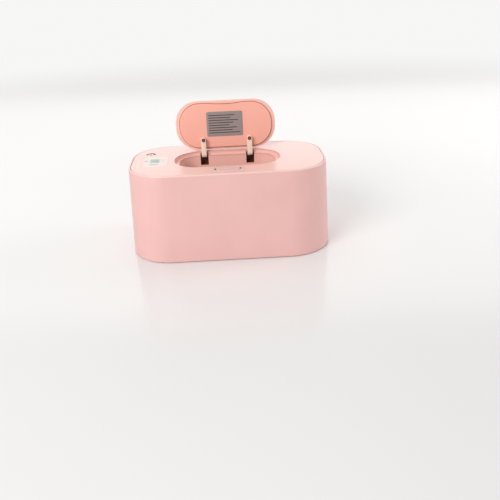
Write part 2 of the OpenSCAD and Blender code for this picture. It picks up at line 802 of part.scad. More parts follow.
module latch_slider() color("#efe9e2") {
    difference() {
        block([-latch_w / 2, latch_front_y, latch_z], [latch_w / 2, latch_back_y, nose_top_z]);
        block([-wedge_w / 2 - 0.4, -46.35, latch_z - 1],
              [wedge_w / 2 + 0.4, -43 + button_travel, nose_top_z + 1]);
    }
    block([-latch_w / 2, latch_back_y - eps, nose_z], [latch_w / 2, nose_y, nose_top_z]);
}

outer_shell();
inner_tank();
insulation_sleeve();
base_plate();
base_screws();
rubber_feet();
top_cover();
cover_chassis();
chassis_screws();
cover_seal();
heater_plate();
heating_film();
thermal_fuse();
thermal_sensor();
main_board();
board_components();
display_board();
lcd_module();
control_window();
touch_springs();
power_socket();
wiring();
hinge_housings();
hinge_rod();
torsion_springs();
button_springs();
latch_spring();
lid_shell();
lid_inner_panel();
lid_seal();
lid_label();
hinge_arms();
arm_screws();
release_button();
latch_slider();
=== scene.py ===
import json
import math

import bmesh
import bpy
import numpy as np
from mathutils import Matrix, Vector


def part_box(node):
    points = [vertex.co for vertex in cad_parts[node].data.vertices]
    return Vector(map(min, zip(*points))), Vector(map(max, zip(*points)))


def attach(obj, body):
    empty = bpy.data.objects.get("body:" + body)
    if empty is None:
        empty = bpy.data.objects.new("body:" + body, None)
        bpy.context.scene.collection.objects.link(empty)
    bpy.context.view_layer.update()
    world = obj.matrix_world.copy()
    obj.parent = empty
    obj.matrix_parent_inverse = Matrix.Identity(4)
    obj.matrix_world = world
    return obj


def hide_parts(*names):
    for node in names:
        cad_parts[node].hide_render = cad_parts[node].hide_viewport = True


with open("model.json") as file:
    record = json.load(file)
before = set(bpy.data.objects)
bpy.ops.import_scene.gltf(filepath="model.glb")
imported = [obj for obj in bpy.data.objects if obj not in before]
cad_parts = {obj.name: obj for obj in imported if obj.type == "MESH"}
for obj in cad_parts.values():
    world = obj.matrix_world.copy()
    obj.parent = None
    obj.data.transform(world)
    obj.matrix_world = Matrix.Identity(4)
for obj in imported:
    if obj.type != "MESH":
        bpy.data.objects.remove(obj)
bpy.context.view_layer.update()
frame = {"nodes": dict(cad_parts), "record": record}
nodes = frame["nodes"]
record = frame["record"]
joints = {joint["name"]: joint for joint in record["behaviour"]["joints"]}
mm = 0.001

# all shapes below are worked out in millimetres and scaled once, in makePiece
hingeY, hingeZ = (v / mm for v in joints["lid_hinge"]["pos_m"][1:])
openAngle = math.radians(joints["lid_hinge"]["range_deg"][1])


def spanOf(name):
    # lowest and highest corner of a CAD node, in millimetres
    low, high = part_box(name)
    return np.array(low) / mm, np.array(high) / mm


topZ = spanOf("top_cover")[1][2]  # the flat top of the body


# camera and light

shot = {
    "place": (0.0018, -0.6971, 0.3169),  # metres, from the fitted view
    "yaw": 1.641, "pitch": 25.72, "roll": -2.419,  # degrees: right, down, clockwise
    "focal": 619.75, "width": 500,  # focal length and frame, in photo pixels
    "sensor": 36, "far": 50,  # sensor width in millimetres, end of view in metres
}


def placeCamera(spec):
    # the line of sight from yaw and pitch, then the frame turned about it by roll
    yaw, pitch, roll = (math.radians(spec[k]) for k in ("yaw", "pitch", "roll"))
    ahead = Vector((math.sin(yaw) * math.cos(pitch), math.cos(yaw) * math.cos(pitch), -math.sin(pitch)))
    right = Vector((math.cos(yaw), -math.sin(yaw), 0))
    up = right.cross(ahead)
    right, up = (math.cos(roll) * right + math.sin(roll) * up,
                 math.cos(roll) * up - math.sin(roll) * right)
    data = bpy.data.cameras.new("photoCamera")
    data.sensor_width = spec["sensor"]
    data.lens = spec["focal"] * spec["sensor"] / spec["width"]
    data.clip_end = spec["far"]
    camera = bpy.data.objects.new("photoCamera", data)
    turn = Matrix((right, up, -ahead)).transposed().to_4x4()
    camera.matrix_world = Matrix.Translation(spec["place"]) @ turn
    bpy.context.scene.collection.objects.link(camera)
    bpy.context.scene.camera = camera


lamps = {  # name: place, aim, size (m), power (W)
    "keyLeft": ((-0.95, -1.15, 1.05), (0, 0, 0.07), (0.9, 0.8), 19),
    "backSoft": ((0.1, 1.6, 0.6), (0, 0, 0.1), (2.6, 0.9), 8),
    "topSoft": ((-0.2, 0.1, 1.5), (0, 0, 0.1), (1.2, 1.0), 3.5),
    "sideRight": ((1.5, 0.25, 0.45), (0, 0, 0.07), (0.7, 0.6), 8.5),
}
world = {
    "colour": (1, 0.985, 0.97),
    "light": 0.47, "seen": 0.94,  # strength that lights the part, and that the camera sees
}


def addLamps(spec):
    for name, (place, aim, size, power) in spec.items():
        data = bpy.data.lights.new(name, "AREA")
        data.shape = "RECTANGLE"
        data.size, data.size_y = size
        data.energy = power
        lamp = bpy.data.objects.new(name, data)
        lamp.location = place
        lamp.rotation_euler = (Vector(aim) - Vector(place)).to_track_quat("-Z", "Y").to_euler()
        bpy.context.scene.collection.objects.link(lamp)


def addWorld(spec):
    made = bpy.data.worlds.new("paleRoom")
    made.use_nodes = True
    tree = made.node_tree
    sky = tree.nodes["Background"]
    feed(tree, spec["colour"], sky.inputs["Color"])
    # the strength goes from the one level to the other on rays that come straight from the camera
    rays = tree.nodes.new("ShaderNodeLightPath").outputs
    strength = tree.nodes.new("ShaderNodeMapRange")
    strength.inputs["To Min"].default_value = spec["light"]
    strength.inputs["To Max"].default_value = spec["seen"]
    tree.links.new(rays["Is Camera Ray"], strength.inputs["Value"])
    tree.links.new(strength.outputs["Result"], sky.inputs["Strength"])
    bpy.context.scene.world = made


# small tools that build shader trees

def material(name):
    made = bpy.data.materials.new(name)
    made.use_nodes = True
    tree = made.node_tree
    return made, tree, tree.nodes["Principled BSDF"], tree.nodes.new("ShaderNodeTexCoord")


def feed(tree, value, socket):
    # a socket takes a link, a number or a colour
    if isinstance(value, bpy.types.NodeSocket):
        tree.links.new(value, socket)
    elif socket.type == "RGBA":
        socket.default_value = (*value[:3], 1)
    else:
        socket.default_value = value


def calc(tree, operation, *values):
    node = tree.nodes.new("ShaderNodeMath")
    node.operation = operation
    for value, socket in zip(values, node.inputs):
        feed(tree, value, socket)
    return node.outputs[0]


def noise(tree, place, size, detail=3, rough=0.5):
    # size is the width of one lump, in the units of place
    node = tree.nodes.new("ShaderNodeTexNoise")
    node.inputs["Scale"].default_value = 1 / size
    node.inputs["Detail"].default_value = detail
    node.inputs["Roughness"].default_value = rough
    tree.links.new(place, node.inputs["Vector"])
    return node.outputs["Fac"]


def mapped(tree, place, **settings):
    node = tree.nodes.new("ShaderNodeMapping")
    for key, value in settings.items():
        node.inputs[key].default_value = value
    tree.links.new(place, node.inputs["Vector"])
    return node.outputs["Vector"]


def ranged(tree, value, low, high, fromLow=0.3, fromHigh=0.7, smooth=False):
    node = tree.nodes.new("ShaderNodeMapRange")
    if smooth:
        node.interpolation_type = "SMOOTHSTEP"
    for key, number in (("From Min", fromLow), ("From Max", fromHigh), ("To Min", low), ("To Max", high)):
        node.inputs[key].default_value = number
    tree.links.new(value, node.inputs["Value"])
    return node.outputs["Result"]


def blended(tree, factor, first, second):
    # a mix node keeps its two colours in sockets 6 and 7 and gives the result in socket 2
    node = tree.nodes.new("ShaderNodeMix")
    node.data_type = "RGBA"
    feed(tree, factor, node.inputs["Factor"])
    feed(tree, first, node.inputs[6])
    feed(tree, second, node.inputs[7])
    return node.outputs[2]


def bumped(tree, height, depth):
    node = tree.nodes.new("ShaderNodeBump")
    node.inputs["Distance"].default_value = depth
    tree.links.new(height, node.inputs["Height"])
    return node.outputs["Normal"]


def shifted(colour, change):
    # every channel grows by the same share, up to full strength
    return tuple(min(1.0, c * (1 + change)) for c in colour)


# what all moulded, drawn and rolled surfaces share, sizes in millimetres
patterns = {"drift": 45, "handled": 9, "speck": 0.35, "coatRough": 0.16}


def surface(name, colour, rough=0.4, swing=0.06, drift=0.03, grain=0.35, depth=0.006,
            coat=0.0, metal=0.0, stretch=None):
    # slow drift of tone, a fine tooled or drawn grain and an uneven gloss, at real sizes
    made, tree, shader, texture = material(name)
    place = texture.outputs["Object"]
    grained = mapped(tree, place, Scale=stretch) if stretch else place
    slow = noise(tree, place, patterns["drift"] * mm, 2)
    fine = noise(tree, grained, grain * mm, 4, 0.6)
    handled = noise(tree, place, patterns["handled"] * mm, 5, 0.65)
    tone = blended(tree, ranged(tree, slow, 0, 1), shifted(colour, -drift), shifted(colour, drift))
    share = ranged(tree, fine, 0, patterns["speck"])
    speck = blended(tree, share, tone, shifted(colour, -2 * drift))
    tree.links.new(speck, shader.inputs["Base Color"])
    tree.links.new(ranged(tree, handled, rough - swing, rough + swing), shader.inputs["Roughness"])
    tree.links.new(bumped(tree, fine, depth * mm), shader.inputs["Normal"])
    shader.inputs["Metallic"].default_value = metal
    shader.inputs["Coat Weight"].default_value = coat
    shader.inputs["Coat Roughness"].default_value = patterns["coatRough"]
    return made


# finishes, one entry for each material slot of the record

coverPink = (0.855, 0.55, 0.495)
finishes = {
    "shell_pink": dict(colour=(0.865, 0.515, 0.485), rough=0.4, grain=0.5, depth=0.008),
    "cover_pink": dict(colour=coverPink, rough=0.3, swing=0.02, drift=0.015, grain=0.6, depth=0.002,
                       coat=0.25),
    "lid_pink": dict(colour=(0.93, 0.57, 0.485), rough=0.32, swing=0.015, drift=0.008, grain=0.6,
                     depth=0.001, coat=0.2),
    "lid_salmon": dict(colour=(0.985, 0.47, 0.37), rough=0.4, swing=0.04, drift=0.02, grain=0.45,
                       depth=0.004),
    "liner_white": dict(colour=(0.86, 0.82, 0.79), rough=0.45, grain=0.6, depth=0.008),
    "arm_cream": dict(colour=(0.98, 0.76, 0.63), rough=0.32, grain=0.4, depth=0.004),
    "part_black": dict(colour=(0.035, 0.018, 0.012), rough=0.5, grain=0.3, depth=0.008),
    "part_cream": dict(colour=(0.80, 0.76, 0.66), rough=0.25, grain=0.3, depth=0.003),
    "seal_dark": dict(colour=(0.50, 0.15, 0.11), rough=0.6, grain=0.3, depth=0.006),
    "seal_silicone": dict(colour=(0.72, 0.70, 0.67), rough=0.55, grain=0.4, depth=0.005),
    "foot_rubber": dict(colour=(0.55, 0.50, 0.47), rough=0.7, grain=0.3, depth=0.015),
    "foam_grey": dict(colour=(0.55, 0.55, 0.54), rough=0.9, grain=0.8, depth=0.15, drift=0.08),
    "heater_aluminium": dict(colour=(0.75, 0.76, 0.78), rough=0.35, grain=0.2, depth=0.004, metal=1.0,
                             stretch=(0.04, 1, 1)),
    "film_amber": dict(colour=(0.55, 0.24, 0.04), rough=0.25, grain=0.8, depth=0.01),
    "lcd_grey": dict(colour=(0.36, 0.40, 0.36), rough=0.2, grain=0.5, depth=0.001, coat=0.4),
    "wire_red": dict(colour=(0.52, 0.06, 0.04), rough=0.4, grain=0.4, depth=0.004),
    "spring_steel": dict(colour=(0.58, 0.58, 0.59), rough=0.28, grain=0.15, depth=0.003, metal=1.0),
    "screw_steel": dict(colour=(0.55, 0.55, 0.56), rough=0.33, grain=0.2, depth=0.004, metal=1.0),
    "screw_black": dict(colour=(0.05, 0.035, 0.03), rough=0.4, grain=0.2, depth=0.004, metal=0.6),
}
slots = {slot: surface(slot, **spec) for slot, spec in finishes.items()}

# painted light: the plastic is painted a warmer pink in the sunk seat and a brighter, warmer pink in the
# opening under it, standing in for light bounced round the pink walls, and paler on the shell's lip as a
# painted highlight: colour, height where it starts, height where it is full
paintedLightByHeight = {
    "cover_pink": [((0.90, 0.54, 0.475), topZ - 1.2, topZ - 3.2),
                   ((1.0, 0.57, 0.485), topZ - 4.6, topZ - 8)],
    "shell_pink": [((0.88, 0.60, 0.55), topZ - 1.6, topZ - 0.5)],
}


def toneByHeight(made, tones):
    # the share of each further colour, here painted light, follows the height, smoothly between two levels
    tree, shader = made.node_tree, made.node_tree.nodes["Principled BSDF"]
    parts = tree.nodes.new("ShaderNodeSeparateXYZ")
    tree.links.new(tree.nodes["Texture Coordinate"].outputs["Object"], parts.inputs[0])
    colour = shader.inputs["Base Color"].links[0].from_socket
    for paintedTone, start, full in tones:
        share = ranged(tree, parts.outputs[2], 0, 1, start * mm, full * mm, smooth=True)
        colour = blended(tree, share, colour, paintedTone)
    tree.links.new(colour, shader.inputs["Base Color"])


for slot, tones in paintedLightByHeight.items():
    toneByHeight(slots[slot], tones)

board = {
    "mask": (0.02, 0.16, 0.06), "copper": (0.04, 0.27, 0.10), "run": 9, "raised": 0.03,
    "grain": 0.6, "rough": 0.35, "speck": 0.3, "paler": 0.5,
    "tracks": {"Mortar Size": 0.035, "Brick Width": 0.9, "Row Height": 0.22},
}


def boardFinish(spec):
    # solder mask over copper tracks: a brick pattern of raised runs, a little paler than the mask
    made, tree, shader, texture = material("board_green")
    tracks = tree.nodes.new("ShaderNodeTexBrick")
    tracks.inputs["Scale"].default_value = 1 / (spec["run"] * mm)
    for key, value in spec["tracks"].items():
        tracks.inputs[key].default_value = value
    tree.links.new(texture.outputs["Object"], tracks.inputs["Vector"])
    fine = noise(tree, texture.outputs["Object"], spec["grain"] * mm)
    speck = ranged(tree, fine, 0, spec["speck"])
    toned = blended(tree, speck, spec["mask"], shifted(spec["mask"], spec["paler"]))
    tree.links.new(blended(tree, tracks.outputs["Fac"], toned, spec["copper"]), shader.inputs["Base Color"])
    tree.links.new(bumped(tree, tracks.outputs["Fac"], spec["raised"] * mm), shader.inputs["Normal"])
    shader.inputs["Roughness"].default_value = spec["rough"]
    return made


slots["board_green"] = boardFinish(board)
# the hinge housings' plastic is a little browner than the rest of its slot
housingSpec = dict(colour=(0.20, 0.065, 0.035), rough=0.55, grain=0.3, depth=0.008)
nodeFinishes = {"hinge_housings": surface("housing_brown", **housingSpec)}
print("finishes made:", len(slots))


# mesh tools: each new piece is one or more grids of points worked out as whole arrays

def gridFaces(rows, columns, closeRows):
    # quads between neighbouring points of a rows x columns grid, wrapped round where it closes
    index = np.arange(rows * columns).reshape(rows, columns)
    if closeRows:
        index = np.vstack([index, index[:1]])
    a, b, c, d = index[:-1, :-1], index[1:, :-1], index[1:, 1:], index[:-1, 1:]
    return np.stack([a, b, c, d], axis=-1).reshape(-1, 4)


meshing = {"merge": 2e-6, "flat": 1e-7}  # metres: points closer than this become one


def makePiece(name, grids, slot, body, sharp=35, closeRows=True, plans=None, finish=None):
    # joins grids of points, in millimetres, into one piece that rides on a body;
    # plans gives each point's own place on a flat pattern, which becomes the UV map
    faces, start = [], 0
    for points in grids:
        rows, columns = points.shape[:2]
        faces.append(gridFaces(rows, columns, closeRows) + start)
        start += rows * columns
    verts = np.concatenate([points.reshape(-1, 3) for points in grids]) * mm
    mesh = bpy.data.meshes.new(name)
    mesh.from_pydata(verts.tolist(), [], np.concatenate(faces).tolist())
    if plans is not None:
        flat = np.concatenate([plan.reshape(-1, 2) for plan in plans])
        corners = np.empty(len(mesh.loops), int)
        mesh.loops.foreach_get("vertex_index", corners)
        mesh.uv_layers.new(name="flatPlace").data.foreach_set("uv", flat[corners].ravel())
    work = bmesh.new()
    work.from_mesh(mesh)
    bmesh.ops.remove_doubles(work, verts=work.verts, dist=meshing["merge"])
    bmesh.ops.dissolve_degenerate(work, edges=work.edges, dist=meshing["flat"])
    bmesh.ops.recalc_face_normals(work, faces=work.faces)
    work.to_mesh(mesh)
    work.free()
    mesh.polygons.foreach_set("use_smooth", np.ones(len(mesh.polygons), bool))
    mesh.set_sharp_from_angle(angle=math.radians(sharp))
    mesh.materials.append(finish or slots[slot])
    piece = bpy.data.objects.new(name, mesh)
    bpy.context.scene.collection.objects.link(piece)
    if body:
        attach(piece, body)
    return piece


def roundedOutline(length, depth, radius, perCorner=20, perSide=6):
    # corner centres and outward directions round a rectangle with round corners: on a corner the
    # direction turns through 90 degrees, on a side the centre moves along and the direction stays
    cx, cy = length / 2 - radius, depth / 2 - radius
    corners = np.array([[cx, cy], [-cx, cy], [-cx, -cy], [cx, -cy]])
    turn = np.linspace(0, np.pi / 2, perCorner)
    along = np.linspace(0, 1, perSide + 2)[1:-1, None]
    centres, outward = [], []
    for k in range(4):
        angle = turn + k * np.pi / 2
        rays = np.stack([np.cos(angle), np.sin(angle)], axis=1)
        centres += [np.repeat(corners[k:k + 1], perCorner, 0),
                    corners[k] + along * (corners[(k + 1) % 4] - corners[k])]
        outward += [rays, np.repeat(rays[-1:], perSide, 0)]
    return np.concatenate(centres), np.concatenate(outward)


def lifted(plan, height):
    # a grid of plan places with one height for each column
    return np.dstack([plan, np.broadcast_to(height, plan.shape[:2])])


def platePoints(centres, outward, profile, steps=8):
    # profile is (distance out from a corner centre, height), from the top's edge to the underside's
    # edge; the top and the underside are filled by shrinking the outline towards the middle
    profile = np.array(profile, float)
    shrink = np.linspace(0, 1, steps)[None, :, None]
    rim = centres[:, None] + profile[None, :, :1] * outward[:, None]
    plan = np.concatenate([rim[:, :1] * shrink, rim, rim[:, -1:] * shrink[:, ::-1]], axis=1)
    ends = [np.full(steps, profile[0, 1]), np.full(steps, profile[-1, 1])]
    return lifted(plan, np.concatenate([ends[0], profile[:, 1], ends[1]]))


def softRim(radius, low, high, soft, under=0.15, steps=6):
    # an edge profile: a quarter round at the top, an upright side and a small round below
    turn = np.linspace(np.pi / 2, 0, steps)
    above = np.stack([radius - soft + soft * np.cos(turn), high - soft + soft * np.sin(turn)], 1)
    back = turn[::-1]
    below = np.stack([radius - under + under * np.cos(back), low + under - under * np.sin(back)], 1)
    return np.concatenate([above, below])


def turnedPoints(profile, around=48):
    # a profile of (radius, height) turned about the Z axis
    profile = np.array(profile, float)
    angle = np.linspace(0, 2 * np.pi, around, endpoint=False)[:, None]
    plan = np.stack([profile[:, 0] * np.cos(angle), profile[:, 0] * np.sin(angle)], axis=-1)
    return lifted(plan, profile[:, 1])


def prismPoints(outline, low, high):
    # a flat outline in Y and Z drawn out along X, with both ends closed to their middle
    outline = np.array(outline, float)
    middle = outline.mean(axis=0)
    ring = np.stack([np.broadcast_to(middle, outline.shape), outline, outline,
                     np.broadcast_to(middle, outline.shape)], axis=1)
    across = np.broadcast_to(np.array([low, low, high, high], float), ring.shape[:2])
    return np.dstack([across, ring])


def onLid(points):
    # the lid's pieces are worked out with the lid shut, then turned open about the hinge
    cos, sin = math.cos(openAngle), math.sin(openAngle)
    y, z = points[..., 1] - hingeY, points[..., 2] - hingeZ
    return np.stack([points[..., 0], hingeY + y * cos + z * sin, hingeZ + z * cos - y * sin], axis=-1)


# CAD nodes that stay: the same solids, welded and softened, each with its own finish

slotOf = {part["node"]: part["material_slot"] for part in record["subparts"]}
softEdges = {"hinge_housings": 0.2, "power_socket": 0.15, "base_plate": 0.25}  # widths in millimetres
dressing = {"weld": 1e-5, "segments": 2, "bevelFrom": 40, "splitFrom": 35}  # metres, -, degrees


def dressNode(name):
    piece = nodes[name]
    piece.data.materials.clear()
    piece.data.materials.append(nodeFinishes.get(name) or slots.get(slotOf[name], slots["part_black"]))
    piece.data.polygons.foreach_set("use_smooth", np.ones(len(piece.data.polygons), bool))
    weld = piece.modifiers.new("weld", "WELD")
    weld.merge_threshold = dressing["weld"]
    if name in softEdges:
        bevel = piece.modifiers.new("softEdge", "BEVEL")
        bevel.width = softEdges[name] * mm
        bevel.segments = dressing["segments"]
        bevel.limit_method = "ANGLE"
        bevel.angle_limit = math.radians(dressing["bevelFrom"])
    split = piece.modifiers.new("sharpEdges", "EDGE_SPLIT")
    split.split_angle = math.radians(dressing["splitFrom"])


for name in nodes:
    dressNode(name)
print("CAD nodes dressed:", len(nodes))


# lid label: a bare foil plate with plain ruled lines

label = {
    "place": (-1, -2.15, 95.2),  # on the shut panel's face
    "length": 43, "depth": 29, "corner": 2, "thick": 0.16, "soft": 0.06,
    "foil": (0.36, 0.29, 0.275), "ink": (0.03, 0.024, 0.024),
    "lines": 8, "pitch": 2.9, "lineWidth": 1.0, "lineHalf": 19, "lineShort": 14, "shareStep": 0.37,
    "strength": 0.9, "grain": 0.35, "brushed": 0.05, "foilSwing": 0.08, "rough": (0.34, 0.44),
    "inkRough": 0.2, "metal": 0.35, "grainDeep": 0.004,
}


def labelFinish(spec):
    made, tree, shader, texture = material("label_foil")
    parts = tree.nodes.new("ShaderNodeSeparateXYZ")
    tree.links.new(texture.outputs["UV"], parts.inputs[0])
    across, down = parts.outputs[0], parts.outputs[1]
    # a line is where the distance to the middle of its row is small, inside the ruled field
    count = calc(tree, "ADD", calc(tree, "DIVIDE", down, spec["pitch"]), spec["lines"])
    row = calc(tree, "FRACT", count)
    off = calc(tree, "ABSOLUTE", calc(tree, "SUBTRACT", row, 0.5))
    line = calc(tree, "LESS_THAN", off, spec["lineWidth"] / spec["pitch"] / 2)
    # each line stops short of the right edge by its own share of a set length
    short = calc(tree, "FRACT", calc(tree, "MULTIPLY", calc(tree, "FLOOR", count), spec["shareStep"]))
    stop = calc(tree, "SUBTRACT", spec["lineHalf"], calc(tree, "MULTIPLY", short, spec["lineShort"]))
    within = calc(tree, "MULTIPLY", calc(tree, "LESS_THAN", across, stop),
                  calc(tree, "GREATER_THAN", across, -spec["lineHalf"]))
    rows = calc(tree, "LESS_THAN", calc(tree, "ABSOLUTE", down), spec["pitch"] * spec["lines"] / 2)
    printed = calc(tree, "MULTIPLY", calc(tree, "MULTIPLY", line, within), rows)
    brushed = mapped(tree, texture.outputs["UV"], Scale=(spec["brushed"], 1, 1))
    grain = noise(tree, brushed, spec["grain"], 4, 0.6)
    deep, pale = (shifted(spec["foil"], change * spec["foilSwing"]) for change in (-1, 1))
    foil = blended(tree, ranged(tree, grain, 0, 1), deep, pale)
    inked = blended(tree, calc(tree, "MULTIPLY", printed, spec["strength"]), foil, spec["ink"])
    tree.links.new(inked, shader.inputs["Base Color"])
    gloss = calc(tree, "ADD", ranged(tree, grain, *spec["rough"]),
                 calc(tree, "MULTIPLY", printed, spec["inkRough"]))
    tree.links.new(gloss, shader.inputs["Roughness"])
    tree.links.new(bumped(tree, grain, spec["grainDeep"] * mm), shader.inputs["Normal"])
    shader.inputs["Metallic"].default_value = spec["metal"]
    return made


def addLabel(spec):
    # the plate hangs face down on the shut lid, so its heights are turned over
    centres, outward = roundedOutline(spec["length"], spec["depth"], spec["corner"])
    points = platePoints(centres, outward, softRim(spec["corner"], 0, spec["thick"], spec["soft"], 0.02))
    plan = points[..., :2].copy()
    shut = points * (1, 1, -1) + spec["place"]
    piece = makePiece("labelPlate", [onLid(shut)], "label_foil", "lid", plans=[plan],
                      finish=labelFinish(spec))
    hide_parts("lid_label")


addLabel(label)
print("lid label made")


# hinge arms: flat bars with round ends that turn up into a hub at the hinge

arms = {
    "x": (-27.5, 27.5), "halfWidth": 3.0, "halfThick": 1.6, "corner": 0.7,
    "frontY": 12.5, "midZ": 90.6, "elbowY": 32.7, "elbow": 1.8, "uprightTop": 94.6,
    "hubHalf": 2.1, "endSoft": 0.5, "swellRun": 5, "closing": 0.9,
    "bendBelow": 1.2, "endBelow": 0.2,  # how far under the hinge and the hub's top the curve is led
}


def armPath(spec):
    # along the panel, a quarter turn, up, then a curve over to the hinge axis and a little past it
    turn = np.linspace(0, np.pi / 2, 12)
    flatY = np.concatenate([spec["frontY"] + (1 - np.cos(turn)) * spec["halfWidth"],
                            np.linspace(spec["frontY"] + spec["halfWidth"], spec["elbowY"], 16)[1:]])
    flat = np.stack([flatY, np.full(len(flatY), spec["midZ"])], 1)
    elbow = np.stack([spec["elbowY"] + spec["elbow"] * np.sin(turn),
                      spec["midZ"] + spec["elbow"] * (1 - np.cos(turn))], 1)[1:]
    share = np.linspace(0, 1, 16)[1:, None]
    start = np.array([spec["elbowY"] + spec["elbow"], spec["uprightTop"]])
    over = np.array([spec["elbowY"] + spec["elbow"], hingeZ - spec["bendBelow"]])
    end = np.array([hingeY, hingeZ + spec["hubHalf"] - spec["endBelow"]])
    curve = (1 - share) ** 2 * start + 2 * share * (1 - share) * over + share ** 2 * end
    return np.concatenate([flat, elbow, start[None], curve])


def armPoints(spec, x):
    # a rounded rectangle carried along the path: its width follows a circle at the front end, so the
    # end is round in plan, and its thickness swells to the hub at the other
    path = armPath(spec)
    step = np.diff(path, axis=0)
    run = np.concatenate([[0], np.cumsum(np.linalg.norm(step, axis=1))])
    ahead = np.gradient(path, axis=0)
    ahead /= np.linalg.norm(ahead, axis=1, keepdims=True)
    across = np.stack([-ahead[:, 1], ahead[:, 0]], 1)
    half = spec["halfWidth"]
    width = np.sqrt(np.clip(half ** 2 - np.clip(half - run, 0, None) ** 2, 0, None))
    fromEnd = np.clip(1 - run / spec["endSoft"], 0, 1)
    thick = spec["halfThick"] - spec["endSoft"] * (1 - np.sqrt(1 - fromEnd ** 2))
    swell = np.clip((run - run[-1] + spec["swellRun"]) / spec["swellRun"], 0, 1)
    thick = thick + (spec["hubHalf"] - spec["halfThick"]) * np.sin(swell * np.pi / 2) ** 2
    close = np.clip((run[-1] - run) / spec["hubHalf"], 0, 1)
    thick = thick * np.sqrt(1 - (1 - close) ** 2 * spec["closing"])
    centres, rays = roundedOutline(2, 2, 1, 8, 2)
    sign = np.sign(np.round(np.stack([rays[:, 0], rays[:, 1]], 1), 6))
    corner = np.minimum(spec["corner"], np.minimum(width, thick))
    side = sign[:, None, 0] * (width - corner) + rays[:, None, 0] * corner
    rise = sign[:, None, 1] * (thick - corner) + rays[:, None, 1] * corner
    ring = path[None] + rise[..., None] * across[None]
    points = np.dstack([x + side, ring])
    first = np.broadcast_to(points[:, :1].mean(axis=0, keepdims=True), points[:, :1].shape)
    last = np.broadcast_to(points[:, -1:].mean(axis=0, keepdims=True), points[:, -1:].shape)
    return np.concatenate([first, points, last], axis=1)


def addArms(spec):
    grids = [onLid(armPoints(spec, x)) for x in spec["x"]]
    piece = makePiece("hingeArms", grids, "arm_cream", "lid", sharp=50)
    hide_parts("hinge_arms")


addArms(arms)
print("hinge arms made")


# screws: domed heads with a cross recess, over a ringed shank

screws = {
    "armScrews": {"node": "arm_screws", "slot": "screw_black", "body": "lid", "head": 4.2, "high": 1.0,
                  "shank": 1.1, "long": 7, "atX": (-27.5, 27.5), "atY": (15.5,), "z": 89.0},
    "baseScrews": {"node": "base_screws", "slot": "screw_steel", "body": "base", "head": 4.6, "high": 1.1,
                   "shank": 1.1, "long": 11, "z": 2.4},
    "chassisScrews": {"node": "chassis_screws", "slot": "screw_steel", "body": "cover", "head": 4.4,
                      "high": 1.1, "shank": 1.0, "long": 13, "atX": (-84, 84), "atY": (-34, 34), "z": 78.6},
}


def screwFinish(spec):
    # the middle of the head is brown, its outer ring and the shank are black, a painted shadow of the hole
    # the head sits in:
    # the tone follows the distance from the screw's own axis
    made, tree, shader, texture = material("screw_brown")
    away = tree.nodes.new("ShaderNodeVectorMath")
    away.operation = "LENGTH"
    tree.links.new(texture.outputs["UV"], away.inputs[0])
    fine = noise(tree, texture.outputs["Object"], spec["grain"] * mm, 4)
    speck = ranged(tree, fine, 0, spec["speck"])
    brown = blended(tree, speck, spec["middle"], shifted(spec["middle"], -spec["darker"]))
    outer = ranged(tree, away.outputs["Value"], 0, 1, spec["from"], spec["to"], smooth=True)
    tree.links.new(blended(tree, outer, brown, spec["ring"]), shader.inputs["Base Color"])
    shader.inputs["Roughness"].default_value = spec["rough"]
    return made


# the ring tone is a painted shadow of the hole round the head
headToneAndHoleShade = {"middle": (0.30, 0.17, 0.12), "ring": (0.025, 0.014, 0.011), "from": 0.95, "to": 1.35,
            "grain": 0.3, "speck": 0.5, "darker": 0.3, "rough": 0.45}
# shares of the head's radius, of its height and of the shank
headShape = {"rim": 0.97, "slotHalf": 0.2, "slotEdge": 0.05, "slotLong": 0.66, "slotEnd": 0.08,
             "crown": 0.3, "slotDeep": 0.6, "threadDeep": 0.1, "turns": 15, "point": 1 / 12,
             "sideTop": 0.6, "sideLow": 0.12, "seat": 0.96, "neck": 1.05}


def screwPoints(spec, around=64):
    # the head's height is a dome less a cross: where the smaller of |x| and |y| is under the slot's
    # half width and the larger is inside its length, the surface drops; below it the rim, the seat
    # and a shank whose radius ripples with the thread
    radius, shape = spec["head"] / 2, headShape
    angle = np.linspace(0, 2 * np.pi, around, endpoint=False)[:, None]
    out = np.linspace(0, radius * shape["rim"], 26)[None]
    x, y = out * np.cos(angle), out * np.sin(angle)
    small, large = np.minimum(abs(x), abs(y)), np.maximum(abs(x), abs(y))
    inside = (np.clip((shape["slotHalf"] - small / radius) / shape["slotEdge"], 0, 1)
              * np.clip((shape["slotLong"] - large / radius) / shape["slotEnd"], 0, 1))
    dome = spec["high"] * (1 - shape["crown"] * (out / radius) ** 2)
    head = np.dstack([x, y, dome - shape["slotDeep"] * spec["high"] * inside])
    thread = np.linspace(0, 1, 60)
    ripple = shape["threadDeep"] * (1 + np.cos(2 * np.pi * shape["turns"] * thread)) / 2
    shankOut = spec["shank"] * (1 - ripple) * np.clip((1 - thread) / shape["point"], 0, 1)
    low = np.array([[radius, shape["sideTop"] * spec["high"]], [radius, shape["sideLow"] * spec["high"]],
                    [radius * shape["seat"], 0], [spec["shank"] * shape["neck"], 0]])
    rest = np.concatenate([low, np.stack([shankOut, -thread * spec["long"]], 1)])
    below = lifted(np.stack([rest[:, 0] * np.cos(angle), rest[:, 0] * np.sin(angle)], -1), rest[:, 1])
    return np.concatenate([head, below], axis=1)


